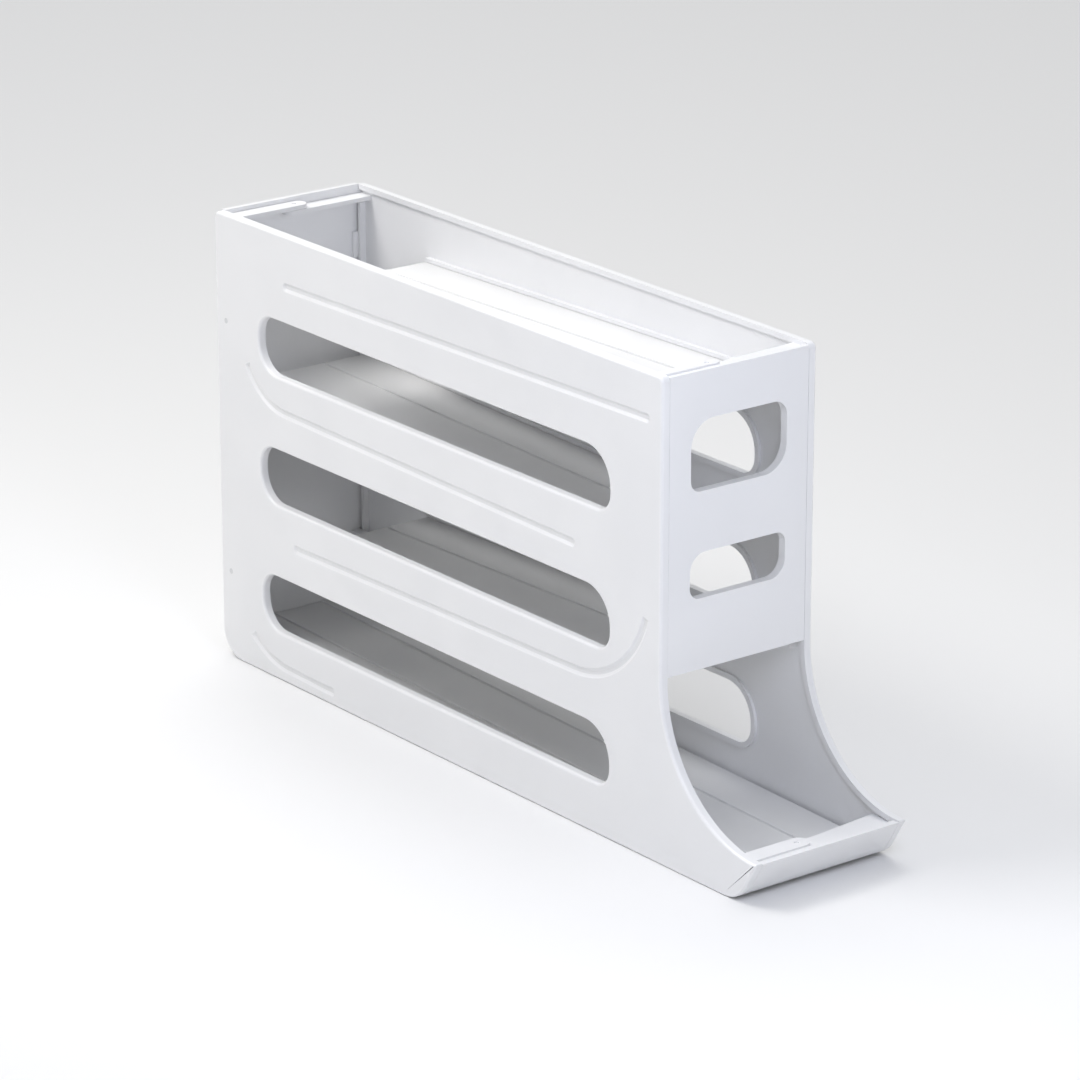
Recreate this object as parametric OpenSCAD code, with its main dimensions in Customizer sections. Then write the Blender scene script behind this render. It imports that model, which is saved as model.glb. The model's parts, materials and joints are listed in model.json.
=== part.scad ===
// Four-tier gravity egg dispenser: two side panels, a front and a rear panel,
// four sloping ramps and a front lip that push and snap together.
// Front and mouth face -Y, up is +Z, the origin is the middle of the footprint on the table.

/* [Overall size] */
// Length of the box, front panel face to rear panel face
body_len = 320; // [270:1:400]
// Width over the two side panels
body_w = 82; // [68:1:100]
// How far the lip reaches in front of the front panel
lip_reach = 62; // [52:1:68]

/* [Tiers] */
// Height of tier 3 above the table, at mid length
tier3_z = 67; // [60:1:80]
// Height step from one tier to the next
tier_pitch = 61; // [51:1:74]
// Wall left above the floor of the top tier
top_wall = 23; // [19:1:28]
// Fall of each ramp, in degrees
tier_slope = 1.3; // [1:0.1:1.6]
// Length of the drop hole at the end of a ramp
drop_gap = 52; // [46:1:60]
// Rise of the landing chute of tier 3 over its floor
chute_rise = 11.2; // [9.4:0.2:14]
// Length of that landing chute
chute_len = 29; // [24:1:35]

/* [Walls] */
// Skin of every panel
skin_t = 2.6; // [2.1:0.1:3.2]
// Thickness at the rims round edges and windows
rim_t = 4; // [3.6:0.1:4.8]
// Width of those rims
rim_w = 2.5; // [2:0.1:3]
// Thickness of the ramps
ramp_t = 2.2; // [1.8:0.1:2.6]
// Thickness of the lip
lip_t = 3; // [2.4:0.1:3.2]
// Radius of the rear bottom corner
rear_r = 14; // [13:0.5:17]
// Radius of the lip's lower edge
foot_r = 15; // [12:0.5:16]
// Radius of the top corners of the side panels
top_r = 3; // [3:0.5:5]
// How far the lip leans out from its foot to its edge
lip_lean = 11; // [9:0.1:13.5]
// Flat on the edge of the lip
lip_flat = 1; // [0.8:0.1:1.5]
// How far the lip stops below the tips of the side panels
lip_edge_drop = 0.5; // [0.3:0.1:1]
// Overlap of the bottom ramp on the lip's foot
lip_foot = 9; // [7:0.5:12]

/* [Side windows] */
// Height of each side window
win_h = 26.5; // [24.6:0.5:32]
// Height of a window's lower edge over its tier floor
win_over_floor = 17; // [14:0.5:20]
// Front panel face to the front end of the windows
win_front = 34; // [28:1:41]
// Rear panel face to the rear end of the windows
win_rear = 33; // [27:1:40]
// Radius of the front lower corners
win_r_fl = 8.5; // [7:0.5:8.5]
// Radius of the front upper corners
win_r_fu = 16; // [13:0.5:16]
// Radius of the rear upper corners
win_r_ru = 10; // [8:0.5:10]
// Radius of the rear lower corners
win_r_rl = 14; // [11:0.5:14]

/* [Front windows] */
// Width of both front windows
fwin_w = 51; // [42:1:56]
// Height of the upper window
fwin_up_h = 30.8; // [25:0.2:32]
// Lower edge of the upper window over the floor of tier 2
fwin_up_over = 31.5; // [27:0.5:34]
// Height of the lower window
fwin_low_h = 20; // [18.6:0.5:24]
// Lower edge of the lower window over the floor of tier 3
fwin_low_over = 46; // [39:1:50]
// Large corner radius of the upper window
fwin_up_big = 12; // [9:0.5:13]
// Large corner radius of the lower window
fwin_low_big = 8; // [6:0.5:9]
// Small corner radius of both
fwin_small = 5; // [4:0.5:6]

/* [Grooves] */
// Width of the decorative grooves
groove_w = 4.2; // [3:0.1:5]
// Depth of the decorative grooves
groove_d = 1; // [0.4:0.1:1.2]
// Slope of the grooves, each the way its tier falls, in degrees
groove_slope = 0.9; // [0.6:0.1:1.3]

/* [Rails and ties] */
// How far rails and ribs stand in from the skin
rail_w = 4; // [3.2:0.1:4.8]
// Thickness of rails and ribs
rail_t = 1.8; // [1.4:0.1:2.2]
// Length of the ties beyond the stud that joins them
tie_lap = 6; // [5:0.5:8]
// Distance of the front ties' stud from mid width, towards the left
front_tie_off = 13.5; // [4:0.5:16]
// Distance of the rear ties' stud from mid width, towards the left
rear_tie_off = 2; // [0:0.5:8]
// Distance of the lip ties' stud from mid width, towards the left
lip_tie_off = 11; // [4:0.5:14]
// Width of the front ties
front_tie_w = 5; // [4.4:0.1:6]
// Width of the rear ties
rear_tie_w = 8; // [6:0.5:8]
// Width of the left tie behind the lip
lip_tie_w = 9; // [7.5:0.5:10]
// How much narrower the right tie behind the lip is at its end
lip_tie_less = 2; // [1:0.5:3]
// Extra width of that tie at its root
lip_tie_flare = 5; // [3:0.5:6]
// Thickness of the ties
tie_t = 2; // [1.6:0.1:2.4]
// Extra width of the front right tie at its root
front_tie_flare = 3; // [2:0.5:4]
// How far the rear ties sit below the top edge
rear_tie_drop = 2; // [1:0.5:4]
// Radius of the snap stud that joins two ties
stud_r = 1.1; // [0.9:0.05:1.3]
// How far the front panel stops below the top edge
front_top_drop = 0.8; // [0.5:0.1:1.2]

/* [Pegs] */
// Radius of the shank of the locking pegs
peg_r = 1; // [0.8:0.05:1.2]
// Radius of the peg heads
peg_head_r = 1.4; // [1.3:0.05:2]
// Thickness of the peg heads
peg_head_t = 1; // [0.8:0.1:1.4]
// Length of the pegs
peg_len = 11; // [9.5:0.5:13]
// Rear face to the axis of the pegs
peg_inset = 7.5; // [6:0.5:8.5]
// Height of the lower pegs
peg_low_z = 42; // [35:1:50]
// Height of the upper pegs
peg_high_z = 162; // [140:1:170]

/* [Ramp details] */
// Height of the two running ribs on a ramp
rib_h = 1; // [0.7:0.1:1.3]
// Width of the running ribs
rib_w = 1.8; // [1.4:0.1:2.2]
// Distance of the running ribs from the middle
rib_x = 13.5; // [11:0.5:17]

/* [Clearances] */
// Gap between panels and between ties
fit = 0.15; // [0.1:0.05:0.3]
// Gap round a ramp in its rails
slide = 0.2; // [0.1:0.05:0.3]
// Radial gap of pegs, pins and studs
pin_gap = 0.05; // [0.03:0.01:0.1]

/* [Hidden] */
$fn = 64;

y_front = (lip_reach - body_len) / 2;
y_rear = y_front + body_len;
y_tip = y_front - lip_reach;
y_mid = (y_front + y_rear) / 2;
body_h = tier3_z + 2 * tier_pitch + top_wall;
tier_z = [tier3_z + 2 * tier_pitch, tier3_z + tier_pitch, tier3_z];
// Side windows look into tiers 2, 3 and 4, one tier pitch apart
win_z = [tier_z[1] + win_over_floor, tier_z[2] + win_over_floor,
         tier_z[2] + win_over_floor - tier_pitch];

skin_x = body_w / 2 - skin_t;        // inner face of the side skins
rim_x = body_w / 2 - rim_t;          // inner face of the side rims
cross_w = 2 * (rim_x - fit);         // width of the pieces between the rims
ramp_w = 2 * (skin_x - slide);       // width of the ramps that run in rails
fall = tan(tier_slope);

// Mouth: a quarter circle from the front panel's lower edge to the lip's edge
mouth_z = tier3_z + (y_mid - y_front) * fall + chute_rise;
lip_h = mouth_z - lip_reach;
foot_y = y_tip + lip_lean;
lean = atan2(lip_lean, lip_h - lip_flat);      // lean of the lip from upright
foot_turn = foot_r * tan((90 - lean) / 2);
foot_c = [foot_y + foot_turn, foot_r];

// Small moulded details
lug_t = 1.3;              // depth of the locating lugs
lug_h = 12;               // height of the lugs
lug_root = 4;             // width of a lug's root on its panel
front_lugs = [mouth_z + 22, body_h - 52];       // heights of the lugs' middles
rear_lugs = [tier3_z + 25, body_h - 28];
weld = 0.5;               // how deep features of one piece run into each other
upright_w = rail_w - 1;   // upright ribs beside the end panels
upright_foot = 6;         // their lower end over the mouth, or over the rear corner
upright_head = 8;         // their upper end below the top edge
stud_reach = 0.8;         // share of a tie's thickness that its stud reaches through
peg_head_gap = 0.05;      // how far a peg head sits below the panel's face
boss_half = 3.5;          // half height and half depth of the bosses for the pegs
boss_x = skin_x - upright_w - fit;
boss_w = 5;
rib_end = 2;              // running ribs stop this far from the ends of a ramp
ledge_setback = 30;       // the bottom ramp's ledges start this far behind the mouth

// Ends of the ramps
lug_gap = max(rim_w - skin_t, 0) + fit;         // panel's inner face to the lugs
rib_front = y_front + skin_t + lug_gap + lug_t + fit;
rib_rear = y_rear - skin_t - lug_gap - lug_t - fit;
ramp_front = rib_front + rail_t + slide;
ramp_rear = rib_rear - rail_t - slide;
drop_rear = y_rear - skin_t - drop_gap;         // rear end of tiers 1 and 3
drop_front = y_front + skin_t + drop_gap;       // front end of tier 2

// Bottom ramp: its rear edge lies under the rear panel, its front edge on the lip's foot
base_rear_z = rear_r - slide;
base_rear_y = y_rear - 1;
base_front_z = lip_t + slide + ramp_t;
foot_in = foot_r - lip_t;                       // inner radius of the lip's lower edge
base_front_y = foot_c[0] - sqrt(pow(foot_in, 2) - pow(foot_in - slide, 2)) + slide;
base_fall = (base_rear_z - base_front_z) / (base_rear_y - base_front_y);
// Inner face of the lip's leaning wall at height z
function lip_inner_y(z) =
    y_tip + lip_lean * (lip_h - lip_flat - z) / (lip_h - lip_flat) + lip_t / cos(lean);

function floor_z(i, y) =
    i == 3 ? base_rear_z - (base_rear_y - y) * base_fall
           : tier_z[i] + (y - y_mid) * fall * (i == 1 ? 1 : -1);

// Points of each ramp's upper face, front to rear
ramp_line = [
    [[ramp_front, floor_z(0, ramp_front)], [drop_rear, floor_z(0, drop_rear)]],
    [[drop_front, floor_z(1, drop_front)], [ramp_rear, floor_z(1, ramp_rear)]],
    [[ramp_front, floor_z(2, ramp_front + chute_len) + chute_rise],
     [ramp_front + chute_len, floor_z(2, ramp_front + chute_len)],
     [drop_rear, floor_z(2, drop_rear)]],
    [[base_front_y, floor_z(3, base_front_y)], [base_rear_y, floor_z(3, base_rear_y)]]
];
base_ledge_front = y_front + ledge_setback;

// End pins of the lip: half way through its wall, a little above half height
lip_pin_z = lip_h * 0.58;
lip_pin_y = lip_inner_y(lip_pin_z) - lip_t / cos(lean) / 2;
lip_pin_r = 1;
lip_pin_len = 2.4;

// Ties: front, rear and lip, by their front edge and upper face
front_tie_y = y_front + skin_t + fit;
rear_tie_y = y_rear - skin_t - fit - rear_tie_w;
lip_tie_drop = 0.4;       // upper face of the lip's left tie below the tips
lip_tie_top = lip_h - lip_tie_drop;
// Each of the lip's ties clears its inner face at the tie's own lower side
lip_tie_y = max(lip_inner_y(lip_tie_top - tie_t),
                lip_inner_y(lip_tie_top - 2 * tie_t - fit) - lip_tie_less / 2) + fit;
tie_root = skin_x + weld;
tie_step = tie_t + fit;   // right ties lie this much lower than the left ones

// Grooves: front end, rear end, height at mid length, 1 if it falls to the rear and -1 if
// to the front, radius and sweep of the arc at one end, and whether that is the rear end
grooves = [
    [y_front + 10, y_rear - 55, win_z[0] + win_h + 18.7, 1, 0, 0, false],
    [y_front + 59, y_rear - 52, win_z[0] - 17.6, -1, 33, 60, true],
    [y_front + 57, y_rear - 60, win_z[1] - 15.7, 1, 50, 73, false],
    [y_rear - 86, y_rear - 51, 5.1, -1, 40, 41, true]
];

// Turns a (y, z) outline into a plate of the given thickness from x0 towards +X
module plate(x0, t) { translate([x0, 0, 0]) rotate([90, 0, 90]) linear_extrude(t) children(); }
module across(w) { plate(-w / 2, w) children(); }

// Rectangle with four corner radii: lower left, lower right, upper right, upper left
module window_2d(x0, y0, x1, y1, r, grow) {
    a = [x0 - grow, y0 - grow];
    b = [x1 + grow, y1 + grow];
    q = [for (v = r) v + grow];
    corner = [a, [b[0], a[1]], b, [a[0], b[1]]];
    inward = [[1, 1], [-1, 1], [-1, -1], [1, -1]];
    difference() {
        translate(a) square(b - a);
        for (k = [0:3]) translate(corner[k] + inward[k] * (q[k] / 2 - 0.5)) square(q[k] + 1, center = true);
    }
    for (k = [0:3]) intersection() {
        translate(corner[k] + inward[k] * q[k]) circle(q[k]);
        translate(corner[k] + inward[k] * q[k] / 2) square(q[k], center = true);
    }
}

// Side outline, drawn in by g
module outline_2d(g) {
    n = [-cos(lean), -sin(lean)];                 // outward normal of the lip
    s = [-sin(lean), cos(lean)];                  // up the lip
    low = foot_c + (foot_r - g) * n;
    high = low + s * (mouth_z - low[1]) / s[1];
    difference() {
        union() {
            polygon([[foot_c[0], g], [y_rear - rear_r, g], [y_rear - g, rear_r],
                     [y_rear - g, body_h - top_r], [y_rear - top_r, body_h - g],
                     [y_front + top_r, body_h - g], [y_front + g, body_h - top_r],
                     [y_front + g, mouth_z], high, low]);
            translate(foot_c) circle(foot_r - g);
            translate([y_rear - rear_r, rear_r]) circle(rear_r - g);
            translate([y_rear - top_r, body_h - top_r]) circle(top_r - g);
            translate([y_front + top_r, body_h - top_r]) circle(top_r - g);
        }
        translate([y_tip, mouth_z]) circle(lip_reach + g, $fn = 128);
        translate([y_tip - lip_reach + g, 0]) square([lip_reach, body_h]);
    }
}

module side_windows_2d(grow) {
    for (z = win_z)
        window_2d(y_front + win_front, z, y_rear - win_rear, z + win_h,
                  [win_r_fl, win_r_rl, win_r_ru, win_r_fu], grow);
}

// Band of thickness t that hangs d below (or stands above, d < 0) the line pts
module band_2d(pts, d, t) {
    n = len(pts);
    polygon(concat([for (i = [0:n - 1]) pts[i] - [0, d]],
                   [for (i = [n - 1:-1:0]) pts[i] - [0, d + t]]));
}

// A groove along the y axis of its own frame, and the arc that leaves its end at [0, 0]
// level and climbs by sweep degrees towards dir
module groove_run(y0, y1) {
    translate([y0, -groove_w / 2]) square([y1 - y0, groove_w]);
    for (y = [y0, y1]) translate([y, 0]) circle(groove_w / 2);
}
module groove_arc(r, sweep, dir) {
    translate([0, r]) difference() {
        circle(r + groove_w / 2, $fn = 128);
        circle(r - groove_w / 2, $fn = 128);
        // keeps only the sector from straight down to the end of the sweep
        translate([dir > 0 ? -2 * r : 0, -2 * r]) square([2 * r, 4 * r]);
        rotate(dir * (sweep - 90)) translate([-2 * r, 0]) square([4 * r, 2 * r]);
        translate([-2 * r, 0]) square([4 * r, 2 * r]);
    }
}
module grooves_2d() {
    for (g = grooves) {
        at = g[6] ? g[1] : g[0];
        tilt = -g[3] * groove_slope;
        translate([at, g[2] + (at - y_mid) * tan(tilt)]) rotate(tilt) {
            groove_run(g[0] - at, g[1] - at);
            if (g[4] > 0) groove_arc(g[4], g[5], g[6] ? 1 : -1);
        }
    }
}

module peg_hole(z, r, x0, x1) {
    translate([x0, y_rear - peg_inset, z]) rotate([0, 90, 0]) cylinder(r = r, h = x1 - x0);
}

// Left panel without its ties; the right one is its mirror image
module side_blank() {
    x0 = -body_w / 2;
    difference() {
        union() {
            plate(x0, skin_t) difference() { outline_2d(0); side_windows_2d(0); }
            plate(x0, rim_t) difference() { outline_2d(0); outline_2d(rim_w); }
            plate(x0, rim_t) difference() { side_windows_2d(rim_w); side_windows_2d(0); }
            // rails of tiers 1 to 3, below and above each ramp
            for (i = [0:2]) {
                plate(-skin_x - weld, rail_w + weld) band_2d(ramp_line[i], ramp_t + slide, rail_t);
                plate(-skin_x - weld, rail_w / 2 + weld)
                    band_2d(ramp_line[i], -slide - rail_t, rail_t);
            }
            // ledge of the bottom ramp
            plate(-skin_x - weld, rail_w + weld)
                band_2d([[base_ledge_front, floor_z(3, base_ledge_front)],
                         [ramp_rear, floor_z(3, ramp_rear)]], ramp_t + slide, rail_t);
            // upright ribs that hold the front and rear panels
            plate(-skin_x - weld, upright_w + weld)
                for (rib = [[rib_front, mouth_z], [rib_rear - rail_t, rear_r]])
                    translate([rib[0], rib[1] + upright_foot])
                        square([rail_t, body_h - rib[1] - upright_foot - upright_head]);
        }
        plate(x0 - 1, 1 + groove_d) grooves_2d();
        for (z = [peg_low_z, peg_high_z]) {
            peg_hole(z, peg_r + pin_gap, x0 - 1, -skin_x + rail_w);
            peg_hole(z, peg_head_r + pin_gap, x0 - 1, x0 + peg_head_t);
        }
        // sockets for the lip's end pins
        translate([-rim_x + weld, lip_pin_y, lip_pin_z]) rotate([0, -90, 0])
            cylinder(r = lip_pin_r + pin_gap, h = lip_pin_len + weld + fit);
    }
}

// Flat tongue in plan view, from the rim of the left panel to just beyond its stud at x
module tie_2d(x, y0, w, flare) {
    polygon([[-tie_root, y0], [x + tie_lap - w / 2, y0], [x + tie_lap - w / 2, y0 + w],
             [-tie_root, y0 + w + flare]]);
    translate([x + tie_lap - w / 2, y0 + w / 2]) circle(w / 2);
}
// An upper tie has the hole for the stud, a lower one has the stud
module upper_tie(x, y0, w, z_top) {
    translate([0, 0, z_top - tie_t]) linear_extrude(tie_t) difference() {
        tie_2d(x, y0, w, 0);
        translate([x, y0 + w / 2]) circle(stud_r + pin_gap);
    }
}
module lower_tie(x, y0, w, z_top, flare) {
    translate([0, 0, z_top - tie_t]) linear_extrude(tie_t) tie_2d(x, y0, w, flare);
    translate([x, y0 + w / 2, z_top - weld])
        cylinder(r = stud_r, h = weld + fit + tie_t * stud_reach);
}

module left_side_panel() color("white") {
    side_blank();
    upper_tie(-front_tie_off, front_tie_y, front_tie_w, body_h);
    upper_tie(-rear_tie_off, rear_tie_y, rear_tie_w, body_h - rear_tie_drop);
    upper_tie(-lip_tie_off, lip_tie_y, lip_tie_w, lip_tie_top);
}
module right_side_panel() color("whitesmoke") mirror([1, 0, 0]) {
    side_blank();
    lower_tie(front_tie_off, front_tie_y, front_tie_w, body_h - tie_step, front_tie_flare);
    lower_tie(rear_tie_off, rear_tie_y, rear_tie_w, body_h - rear_tie_drop - tie_step, 0);
    lower_tie(lip_tie_off, lip_tie_y + lip_tie_less / 2, lip_tie_w - lip_tie_less,
              lip_tie_top - tie_step, lip_tie_flare);
}

// Lugs of the front and rear panels: they stand on the panel's inner face at y
// and reach behind the rims of the side panels; dir points into the box
module lugs(y, dir, list) {
    tip_w = skin_x - fit - cross_w / 2 + lug_root;
    for (z = list, side = [-1, 1]) {
        translate([side * (cross_w - lug_root) / 2, y + dir * (lug_gap + lug_t - weld) / 2, z])
            cube([lug_root, lug_gap + lug_t + weld, lug_h], center = true);
        translate([side * (skin_x - fit - tip_w / 2), y + dir * (lug_gap + lug_t / 2), z])
            cube([tip_w, lug_t, lug_h], center = true);
    }
}
module front_windows_2d(grow) {
    up = tier_z[1] + fwin_up_over;
    low = tier_z[2] + fwin_low_over;
    window_2d(-fwin_w / 2, up, fwin_w / 2, up + fwin_up_h,
              [fwin_small, fwin_up_big, fwin_small + 2, fwin_up_big], grow);
    window_2d(-fwin_w / 2, low, fwin_w / 2, low + fwin_low_h,
              [fwin_small, fwin_low_big, fwin_small, fwin_low_big], grow);
}
module front_panel() color("ghostwhite") {
    translate([0, y_front, 0]) rotate([90, 0, 0]) mirror([0, 0, 1]) {
        linear_extrude(skin_t) difference() {
            translate([-cross_w / 2, mouth_z]) square([cross_w, body_h - front_top_drop - mouth_z]);
            front_windows_2d(0);
        }
        linear_extrude(rim_t) difference() { front_windows_2d(rim_w); front_windows_2d(0); }
        // stiffening turn-in along the lower edge
        translate([-skin_x + rail_w, mouth_z, 0]) cube([2 * (skin_x - rail_w), rim_w, rim_t]);
    }
    lugs(y_front + skin_t, 1, front_lugs);
}
module rear_panel() color("ghostwhite") {
    x = cross_w / 2;
    difference() {
        union() {
            translate([-x, y_rear - skin_t, rear_r]) cube([cross_w, skin_t, body_h - rear_r]);
            lugs(y_rear - skin_t, -1, rear_lugs);
            // bosses that take the pegs
            for (z = [peg_low_z, peg_high_z], side = [-1, 1])
                translate([side > 0 ? boss_x - boss_w : -boss_x, y_rear - peg_inset - boss_half,
                           z - boss_half])
                    cube([boss_w, peg_inset + boss_half - skin_t + weld, 2 * boss_half]);
        }
        for (z = [peg_low_z, peg_high_z]) {
            peg_hole(z, peg_r + pin_gap, -boss_x - 1, -boss_x + boss_w + 1);
            peg_hole(z, peg_r + pin_gap, boss_x - boss_w - 1, boss_x + 1);
        }
    }
}

// Moves both ends of a line inwards by d
function toward(p, q, d) = p + (q - p) * d / norm(q - p);
function shorten(pts, d) = let (n = len(pts)) [
    for (k = [0:n - 1]) k == 0 ? toward(pts[0], pts[1], d)
                      : k == n - 1 ? toward(pts[k], pts[k - 1], d) : pts[k]];

// A ramp: sloping floor with a rounded free end and two running ribs
module ramp(i, w, nose_front, nose_rear) {
    pts = ramp_line[i];
    a = pts[0];
    b = pts[len(pts) - 1];
    across(w) band_2d(pts, 0, ramp_t);
    if (nose_front) across(w) translate(a - [0, ramp_t / 2]) circle(ramp_t / 2);
    if (nose_rear) across(w) translate(b - [0, ramp_t / 2]) circle(ramp_t / 2);
    for (side = [-1, 1]) plate(side * rib_x - rib_w / 2, rib_w)
        band_2d(shorten(pts, rib_end), -rib_h, rib_h + weld);
}
module ramp_tier_1() color("snow") ramp(0, ramp_w, false, true);
module ramp_tier_2() color("snow") ramp(1, ramp_w, true, false);
module ramp_tier_3() color("snow") ramp(2, ramp_w, false, true);
module ramp_tier_4() color("snow") ramp(3, cross_w, false, false);

module front_lip() color("ghostwhite") {
    bend_z = foot_r - foot_in * sin(lean);        // where the inner wall starts to curve
    across(cross_w) intersection() {
        difference() {
            outline_2d(0);
            outline_2d(lip_t);
            // nothing behind the leaning wall above the foot
            polygon([[lip_inner_y(bend_z), bend_z], [y_front, bend_z],
                     [y_front, mouth_z], [lip_inner_y(mouth_z), mouth_z]]);
        }
        translate([y_tip, 0]) square([base_front_y + lip_foot - y_tip, lip_h - lip_edge_drop]);
    }
    for (side = [-1, 1])
        translate([side * (cross_w / 2 - 1), lip_pin_y, lip_pin_z]) rotate([0, side * 90, 0])
            cylinder(r = lip_pin_r, h = lip_pin_len + 1);
}

module peg(side, z) {
    translate([side * body_w / 2, y_rear - peg_inset, z]) rotate([0, -side * 90, 0]) {
        cylinder(r = peg_head_r, h = peg_head_t - peg_head_gap);
        cylinder(r = peg_r, h = peg_len);
    }
}
module peg_left_upper() color("lightgray") peg(-1, peg_high_z);
module peg_left_lower() color("lightgray") peg(-1, peg_low_z);
module peg_right_upper() color("lightgray") peg(1, peg_high_z);
module peg_right_lower() color("lightgray") peg(1, peg_low_z);

left_side_panel();
right_side_panel();
front_panel();
rear_panel();
ramp_tier_1();
ramp_tier_2();
ramp_tier_3();
ramp_tier_4();
front_lip();
peg_left_upper();
peg_left_lower();
peg_right_upper();
peg_right_lower();
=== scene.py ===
"""Visual model of a four-tier rolling egg dispenser in white moulded plastic.

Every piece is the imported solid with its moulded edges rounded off, in a plastic of its own.
Metres, +Z up, mouth and lip towards -Y, origin in the middle of the footprint.
"""

import json
import math

import bmesh
import bpy
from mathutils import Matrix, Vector


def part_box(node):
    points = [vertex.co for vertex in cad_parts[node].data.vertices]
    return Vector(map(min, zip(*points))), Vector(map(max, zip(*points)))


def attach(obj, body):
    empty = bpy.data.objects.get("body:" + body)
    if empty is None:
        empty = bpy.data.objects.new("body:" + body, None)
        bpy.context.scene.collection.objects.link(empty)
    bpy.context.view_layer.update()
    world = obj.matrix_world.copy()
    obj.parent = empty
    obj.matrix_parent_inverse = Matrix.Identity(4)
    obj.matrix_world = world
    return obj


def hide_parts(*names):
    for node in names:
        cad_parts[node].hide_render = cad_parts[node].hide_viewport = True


# ---------------------------------------------------------------- frame
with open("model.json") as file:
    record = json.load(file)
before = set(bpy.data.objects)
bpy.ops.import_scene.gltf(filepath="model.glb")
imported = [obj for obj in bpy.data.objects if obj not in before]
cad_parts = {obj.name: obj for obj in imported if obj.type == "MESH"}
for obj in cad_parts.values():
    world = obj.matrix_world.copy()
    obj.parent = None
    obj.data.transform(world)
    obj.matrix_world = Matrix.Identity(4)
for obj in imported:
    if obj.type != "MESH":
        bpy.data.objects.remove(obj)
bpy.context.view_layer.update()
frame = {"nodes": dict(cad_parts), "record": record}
NODES = frame["nodes"]

# ---------------------------------------------------------------- lengths of the moulded edges
MM = 0.001
EDGE_RADIUS = {"side_panel": 0.35 * MM, "end_panel": 0.4 * MM, "ramp": 0.35 * MM, "lip": 0.45 * MM,
               "peg": 0.2 * MM}
OUTER_RADIUS = 1.2 * MM    # outline and windows of a side panel's outer face
SEAM_RADIUS = 0.1 * MM     # upright edges where an end panel meets a side panel flush
GROOVE_DEPTH = 1.0 * MM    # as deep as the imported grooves
GROOVE_FLANK = 1.1 * MM    # width of a groove's sloping wall
GROOVE_RADIUS = 0.25 * MM
TOUCH = 0.02 * MM          # places closer than this count as one
WELD = 0.002 * MM          # points closer than this are joined
RIM_WELD = 0.01 * MM       # the same, on the rims of the sloped grooves
SEAM_PLANES = (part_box("front_panel")[0][1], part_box("rear_panel")[1][1])

# ---------------------------------------------------------------- turns, in degrees, and steps
FLAT_TURN = 0.6            # faces that turn by less are one flat face
GROOVE_TURN = 12           # edges of a groove turn by more
HARD_TURN = 40             # any other edge that turns by more is rounded
OUTLINE_TURN = 50          # edges of the outline and windows turn by more
SHARP_TURN = 50            # shading breaks at edges that turn by more
SEAM_STEPS = 1
EDGE_STEPS = 2
GROOVE_STEPS = 2
OUTER_STEPS = 4
FLAT_WEIGHT = 60           # how far large flat faces rule the shading of their rounded edges
FACING = 0.999             # least X of the normal of a face that looks outwards
UPRIGHT = 0.99             # least share of an upright edge's length that is height

# ---------------------------------------------------------------- camera
CAMERA_PLACE = Vector((-1.2798, -1.6496, 0.8232))
CAMERA_AIM = Vector((0.5781, 0.7472, -0.3278))
CAMERA_LENS = 169.88
CAMERA_SENSOR = 36
CAMERA_NEAR, CAMERA_FAR = 0.05, 50


def add_camera():
    """Long lens looking down on the mouth end and the left side panel."""
    data = bpy.data.cameras.new("view")
    data.lens = CAMERA_LENS
    data.sensor_width = CAMERA_SENSOR
    data.clip_start = CAMERA_NEAR
    data.clip_end = CAMERA_FAR
    camera = bpy.data.objects.new("view", data)
    camera.location = CAMERA_PLACE
    camera.rotation_euler = CAMERA_AIM.to_track_quat("-Z", "Y").to_euler()
    bpy.context.scene.collection.objects.link(camera)
    bpy.context.scene.camera = camera


# ---------------------------------------------------------------- light and floor
# name, place, what it is aimed at, side of its square, watts, colour
SOFTBOXES = (
    ("softbox_left", (-0.44, 0.34, 0.86), (0, 0.05, 0.16), 0.35, 3.9, (1.0, 0.985, 0.965)),
    ("softbox_front", (-0.17, -0.47, 0.40), (0, -0.13, 0.12), 0.2, 0.92, (0.82, 0.86, 1.0)),
    ("softbox_top", (0.5, 1.2, 2.2), (0, 0, 0.1), 2.0, 14, (1.0, 1.0, 1.0)),
)
WASH_ENERGY = 0.75
WASH_SPREAD = 60           # degrees
WASH_TILT = (-14, 8, 0)    # degrees from straight down
SKY_COLOUR = (0.97, 0.98, 1.0, 1)
SKY_STRENGTH = 0.4
FLOOR_RADIUS = 6
FLOOR_SIDES = 96
FLOOR_COLOUR = (0.82, 0.82, 0.82, 1)
FLOOR_ROUGHNESS = 0.7


def add_softbox(name, place, aim, side, power, colour):
    data = bpy.data.lights.new(name, "AREA")
    data.shape = "RECTANGLE"
    data.size = data.size_y = side
    data.energy = power
    data.color = colour
    lamp = bpy.data.objects.new(name, data)
    lamp.location = place
    lamp.rotation_euler = (Vector(aim) - Vector(place)).to_track_quat("-Z", "Y").to_euler()
    bpy.context.scene.collection.objects.link(lamp)


def add_wash():
    """Wide soft light from overhead."""
    data = bpy.data.lights.new("overhead_wash", "SUN")
    data.energy = WASH_ENERGY
    data.angle = math.radians(WASH_SPREAD)
    wash = bpy.data.objects.new("overhead_wash", data)
    wash.rotation_euler = [math.radians(turn) for turn in WASH_TILT]
    bpy.context.scene.collection.objects.link(wash)


def add_sky():
    world = bpy.data.worlds.new("studio")
    world.use_nodes = True
    sky = world.node_tree.nodes["Background"]
    sky.inputs["Color"].default_value = SKY_COLOUR
    sky.inputs["Strength"].default_value = SKY_STRENGTH
    bpy.context.scene.world = world
    bpy.context.scene.view_settings.view_transform = "Standard"
    bpy.context.scene.view_settings.look = "None"


def add_studio():
    for softbox in SOFTBOXES:
        add_softbox(*softbox)
    add_wash()
    add_sky()


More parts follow.
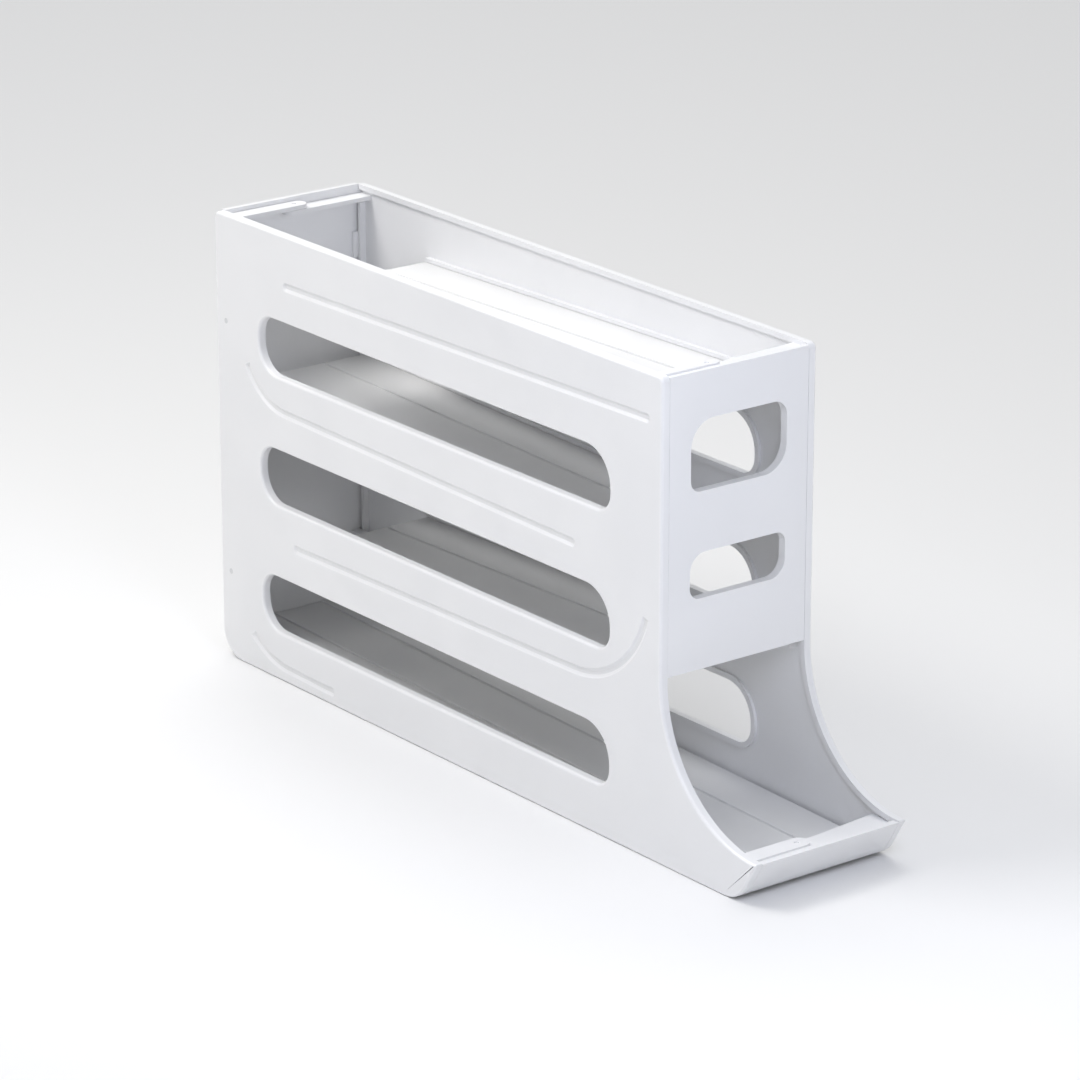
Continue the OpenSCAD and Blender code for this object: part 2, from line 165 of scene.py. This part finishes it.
def tabletop_finish():
    material = bpy.data.materials.new("pale_tabletop")
    material.use_nodes = True
    shader = material.node_tree.nodes["Principled BSDF"]
    shader.inputs["Base Color"].default_value = FLOOR_COLOUR
    shader.inputs["Roughness"].default_value = FLOOR_ROUGHNESS
    return material


def add_floor():
    form = bmesh.new()
    bmesh.ops.create_circle(form, cap_ends=True, segments=FLOOR_SIDES, radius=FLOOR_RADIUS)
    mesh = bpy.data.meshes.new("tabletop")
    form.to_mesh(mesh)
    form.free()
    floor = bpy.data.objects.new("tabletop", mesh)
    bpy.context.scene.collection.objects.link(floor)
    floor.data.materials.append(tabletop_finish())


# ---------------------------------------------------------------- shared finish groups
def new_group(name, inputs, outputs):
    group = bpy.data.node_groups.new(name, "ShaderNodeTree")
    for label, kind, value in inputs:
        socket = group.interface.new_socket(label, in_out="INPUT", socket_type=kind)
        if value is not None:
            socket.default_value = value
    for label, kind in outputs:
        group.interface.new_socket(label, in_out="OUTPUT", socket_type=kind)
    entry = group.nodes.new("NodeGroupInput")
    leave = group.nodes.new("NodeGroupOutput")
    return group, entry, leave


def add_node(tree, kind, **settings):
    node = tree.nodes.new(kind)
    for key, value in settings.items():
        if key in node.inputs:
            node.inputs[key].default_value = value
        else:
            setattr(node, key, value)
    return node


def add_range(tree, low, high):
    """A ramp that rises from 0 at the low value to 1 at the high one."""
    node = add_node(tree, "ShaderNodeMapRange")
    node.inputs["From Min"].default_value = low
    node.inputs["From Max"].default_value = high
    return node


def add_share(tree, source, share, base):
    """The source times a share, added to the base."""
    node = add_node(tree, "ShaderNodeMath", operation="MULTIPLY_ADD")
    node.inputs[1].default_value = share
    tree.links.new(source, node.inputs[0])
    tree.links.new(base, node.inputs[2])
    return node.outputs["Value"]


def mould_grain_group():
    """Fine spark-eroded grain of the mould, and the slow flow marks of the plastic."""
    group, entry, leave = new_group(
        "mould_grain",
        [("Vector", "NodeSocketVector", None), ("Grain Size", "NodeSocketFloat", 900.0),
         ("Flow Size", "NodeSocketFloat", 14.0)],
        [("Grain", "NodeSocketFloat"), ("Flow", "NodeSocketFloat")])
    link = group.links.new
    grain = add_node(group, "ShaderNodeTexNoise", Detail=3.0, Roughness=0.62)
    flow = add_node(group, "ShaderNodeTexNoise", Detail=2.0, Roughness=0.45, Distortion=0.8)
    link(entry.outputs["Vector"], grain.inputs["Vector"])
    link(entry.outputs["Grain Size"], grain.inputs["Scale"])
    link(entry.outputs["Vector"], flow.inputs["Vector"])
    link(entry.outputs["Flow Size"], flow.inputs["Scale"])
    link(grain.outputs["Fac"], leave.inputs["Grain"])
    link(flow.outputs["Fac"], leave.inputs["Flow"])
    return group


def handling_group():
    """Hairline scuffs from cleaning and from eggs rolling, as a mask."""
    group, entry, leave = new_group(
        "handling_marks",
        [("Vector", "NodeSocketVector", None), ("Along", "NodeSocketVector", (40.0, 6.0, 40.0)),
         ("Amount", "NodeSocketFloat", 0.5)],
        [("Scuff", "NodeSocketFloat")])
    link = group.links.new
    stretch = add_node(group, "ShaderNodeVectorMath", operation="MULTIPLY")
    streaks = add_node(group, "ShaderNodeTexNoise", Scale=9.0, Detail=6.0, Roughness=0.7)
    thin = add_range(group, 0.60, 0.74)
    patches = add_node(group, "ShaderNodeTexNoise", Scale=11.0, Detail=1.0)
    where = add_range(group, 0.48, 0.62)
    both = add_node(group, "ShaderNodeMath", operation="MULTIPLY")
    out = add_node(group, "ShaderNodeMath", operation="MULTIPLY")
    link(entry.outputs["Vector"], stretch.inputs[0])
    link(entry.outputs["Along"], stretch.inputs[1])
    link(stretch.outputs["Vector"], streaks.inputs["Vector"])
    link(entry.outputs["Vector"], patches.inputs["Vector"])
    link(streaks.outputs["Fac"], thin.inputs["Value"])
    link(patches.outputs["Fac"], where.inputs["Value"])
    link(thin.outputs["Result"], both.inputs[0])
    link(where.outputs["Result"], both.inputs[1])
    link(both.outputs["Value"], out.inputs[0])
    link(entry.outputs["Amount"], out.inputs[1])
    link(out.outputs["Value"], leave.inputs["Scuff"])
    return group


# ---------------------------------------------------------------- plastics
EDGE_HIGHLIGHT_WHITENING = 1.06      # painted highlight: a rounded edge's colour over the flat one's
EDGE_HIGHLIGHT_SHARE = 0.6           # how much of that painted highlight colour a rounded edge takes
EDGE_POLISH = -0.08        # change of roughness on a rounded edge
SCUFF_DULLING = 0.16       # change of roughness on a scuff
SCUFF_SINK = -0.5          # height of a scuff, in heights of the grain
GRAIN_GLOSS = (-0.05, 0.07)    # change of roughness over the grain, low to high
GRAIN_RELIEF = 0.35
FLOW_FROM, FLOW_TO = 0.35, 0.65
PLASTIC_IOR = 1.52
PLASTIC_SPECULAR = 0.5
GROUPS = {"grain": mould_grain_group(), "handling": handling_group()}


def plastic(name, base, deep, roughness, grain_size, grain_depth, scuff, along):
    """White moulded plastic: two close whites by flow, grain in gloss and relief, polished edges
    whitened as a painted highlight.
    """
    material = bpy.data.materials.new(name)
    material.use_nodes = True
    tree = material.node_tree
    link = tree.links.new
    shader = tree.nodes["Principled BSDF"]
    place = tree.nodes.new("ShaderNodeTexCoord")
    grain = add_node(tree, "ShaderNodeGroup")
    grain.node_tree = GROUPS["grain"]
    grain.inputs["Grain Size"].default_value = grain_size
    marks = add_node(tree, "ShaderNodeGroup")
    marks.node_tree = GROUPS["handling"]
    marks.inputs["Along"].default_value = along
    marks.inputs["Amount"].default_value = scuff
    edge = add_node(tree, "ShaderNodeAttribute", attribute_name="rounded_edge")
    link(place.outputs["Object"], grain.inputs["Vector"])
    link(place.outputs["Object"], marks.inputs["Vector"])

    tint = add_node(tree, "ShaderNodeMix", data_type="RGBA")
    tint.inputs["A"].default_value = (*deep, 1)
    tint.inputs["B"].default_value = (*base, 1)
    spread = add_range(tree, FLOW_FROM, FLOW_TO)
    link(grain.outputs["Flow"], spread.inputs["Value"])
    link(spread.outputs["Result"], tint.inputs["Factor"])
    # painted highlight: the rounded edges are mixed towards a lighter white
    painted_edge_highlight = add_node(tree, "ShaderNodeMix", data_type="RGBA")
    painted_edge_highlight.inputs["B"].default_value = (*[min(1, c * EDGE_HIGHLIGHT_WHITENING) for c in base], 1)
    link(tint.outputs["Result"], painted_edge_highlight.inputs["A"])
    edge_highlight_share = add_node(tree, "ShaderNodeMath", operation="MULTIPLY")
    edge_highlight_share.inputs[1].default_value = EDGE_HIGHLIGHT_SHARE
    link(edge.outputs["Fac"], edge_highlight_share.inputs[0])
    link(edge_highlight_share.outputs["Value"], painted_edge_highlight.inputs["Factor"])
    link(painted_edge_highlight.outputs["Result"], shader.inputs["Base Color"])

    gloss = add_node(tree, "ShaderNodeMapRange")
    gloss.inputs["To Min"].default_value = roughness + GRAIN_GLOSS[0]
    gloss.inputs["To Max"].default_value = roughness + GRAIN_GLOSS[1]
    link(grain.outputs["Grain"], gloss.inputs["Value"])
    duller = add_share(tree, marks.outputs["Scuff"], SCUFF_DULLING, gloss.outputs["Result"])
    polished = add_share(tree, edge.outputs["Fac"], EDGE_POLISH, duller)
    link(polished, shader.inputs["Roughness"])

    relief = add_share(tree, marks.outputs["Scuff"], SCUFF_SINK, grain.outputs["Grain"])
    bump = add_node(tree, "ShaderNodeBump", Strength=GRAIN_RELIEF, Distance=grain_depth)
    link(relief, bump.inputs["Height"])
    link(bump.outputs["Normal"], shader.inputs["Normal"])
    shader.inputs["IOR"].default_value = PLASTIC_IOR
    shader.inputs["Specular IOR Level"].default_value = PLASTIC_SPECULAR
    return material


WHITE = {"base": (0.86, 0.862, 0.872), "deep": (0.835, 0.838, 0.85), "grain_size": 1400.0,
         "grain_depth": 0.05 * MM}
RAMP_WHITE = {"base": (0.82, 0.82, 0.815), "deep": (0.77, 0.77, 0.77), "grain_size": 700.0,
              "grain_depth": 0.09 * MM}
PEG_GREY = {"base": (0.70, 0.71, 0.72), "deep": (0.64, 0.65, 0.66), "grain_size": 2000.0,
            "grain_depth": 0.04 * MM}
FINISHES = {
    "side_panel": plastic("white_side_plastic", **WHITE, roughness=0.36, scuff=0.7,
                          along=(40.0, 5.0, 40.0)),
    "end_panel": plastic("white_end_plastic", **WHITE, roughness=0.34, scuff=0.6,
                         along=(5.0, 40.0, 30.0)),
    "ramp": plastic("white_ramp_plastic", **RAMP_WHITE, roughness=0.45, scuff=1.0,
                    along=(50.0, 4.0, 50.0)),
    "lip": plastic("white_lip_plastic", **WHITE, roughness=0.34, scuff=0.8,
                   along=(5.0, 40.0, 30.0)),
    "peg": plastic("grey_peg_plastic", **PEG_GREY, roughness=0.4, scuff=0.5,
                   along=(20.0, 20.0, 20.0)),
}


# ---------------------------------------------------------------- moulded pieces
def same(a, b):
    return abs(a - b) < TOUCH


def hard_edges(form, turn):
    """Edges that turn by more than the given degrees and lie beside no rounding."""
    mask = form.faces.layers.float["rounded_edge"]
    return [e for e in form.edges if e.is_manifold and e.calc_face_angle(0) > math.radians(turn)
            and not any(face[mask] for face in e.link_faces)]


def outer_face_edges(form, outer_x, turn, depth):
    """Hard edges that lie no deeper than the given depth behind a side panel's outer face."""
    return [e for e in hard_edges(form, turn)
            if all(abs(v.co.x - outer_x) < depth + TOUCH for v in e.verts)]


def at_seam(edge):
    """True for an upright edge where an end panel meets a side panel flush."""
    low, high = (v.co for v in edge.verts)
    return (abs(high.z - low.z) > UPRIGHT * edge.calc_length()
            and any(same(low.y, plane) and same(high.y, plane) for plane in SEAM_PLANES))


def round_off(form, edges, radius, steps, clamp=True):
    """Rounds the edges with an even width and marks the new faces."""
    mask = form.faces.layers.float["rounded_edge"]
    made = bmesh.ops.bevel(form, geom=edges, offset=radius, offset_type="OFFSET", affect="EDGES",
                           segments=steps, profile=0.5, material=-1, clamp_overlap=clamp,
                           loop_slide=False, harden_normals=False)
    for face in made["faces"]:
        face[mask] = 1.0


def packed_form(node):
    """The node's solid as a mesh whose flat faces are single faces."""
    form = bmesh.new()
    form.from_mesh(NODES[node].data)
    form.faces.layers.float.new("rounded_edge")
    bmesh.ops.remove_doubles(form, verts=form.verts, dist=WELD)
    bmesh.ops.dissolve_degenerate(form, edges=form.edges, dist=WELD)
    bmesh.ops.dissolve_limit(form, angle_limit=math.radians(FLAT_TURN), verts=form.verts,
                             edges=form.edges, use_dissolve_boundaries=False)
    return form


def slope_grooves(form, outer_x):
    """Leans the upright walls of the grooves in an outer face, so that they read as soft channels."""
    side = math.copysign(1, outer_x)
    floor_x = outer_x - side * GROOVE_DEPTH
    floors = [f for f in form.faces if f.normal.x * side > FACING
              and all(same(v.co.x, floor_x) for v in f.verts)]
    bmesh.ops.inset_region(form, faces=floors, thickness=GROOVE_FLANK, use_even_offset=True,
                           use_boundary=True)
    inner = {v for f in floors for v in f.verts}
    for v in form.verts:
        if same(v.co.x, floor_x) and v not in inner:
            v.co.x = outer_x
    bmesh.ops.remove_doubles(form, verts=[v for v in form.verts if same(v.co.x, outer_x)],
                             dist=RIM_WELD)
    form.normal_update()


def shape_outer_face(form):
    """Soft outline and windows, and sloping grooves, on a side panel's outer face."""
    outer_x = max((v.co.x for v in form.verts), key=abs)
    slope_grooves(form, outer_x)
    round_off(form, outer_face_edges(form, outer_x, OUTLINE_TURN, 0), OUTER_RADIUS, OUTER_STEPS,
              clamp=False)
    round_off(form, outer_face_edges(form, outer_x, GROOVE_TURN, GROOVE_DEPTH), GROOVE_RADIUS,
              GROOVE_STEPS, clamp=False)


def moulded(node, slot):
    """The node's solid with rounded edges, its flat faces kept flat by weighted normals."""
    form = packed_form(node)
    if slot == "side_panel":
        shape_outer_face(form)
    round_off(form, [e for e in hard_edges(form, HARD_TURN) if at_seam(e)], SEAM_RADIUS, SEAM_STEPS)
    round_off(form, hard_edges(form, HARD_TURN), EDGE_RADIUS[slot], EDGE_STEPS)
    mesh = bpy.data.meshes.new(node + "_moulded")
    form.to_mesh(mesh)
    form.free()
    mesh.polygons.foreach_set("use_smooth", [True] * len(mesh.polygons))
    mesh.set_sharp_from_angle(angle=math.radians(SHARP_TURN))
    piece = bpy.data.objects.new(node + "_moulded", mesh)
    bpy.context.scene.collection.objects.link(piece)
    weigh = piece.modifiers.new("flat_faces", "WEIGHTED_NORMAL")
    weigh.keep_sharp = True
    weigh.weight = FLAT_WEIGHT
    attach(piece, "root")
    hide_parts(node)
    return piece


# ---------------------------------------------------------------- the whole scene
add_camera()
add_studio()
add_floor()
for entry in frame["record"]["subparts"]:
    slot = entry["material_slot"]
    piece = moulded(entry["node"], slot)
    piece.data.materials.append(FINISHES[slot])
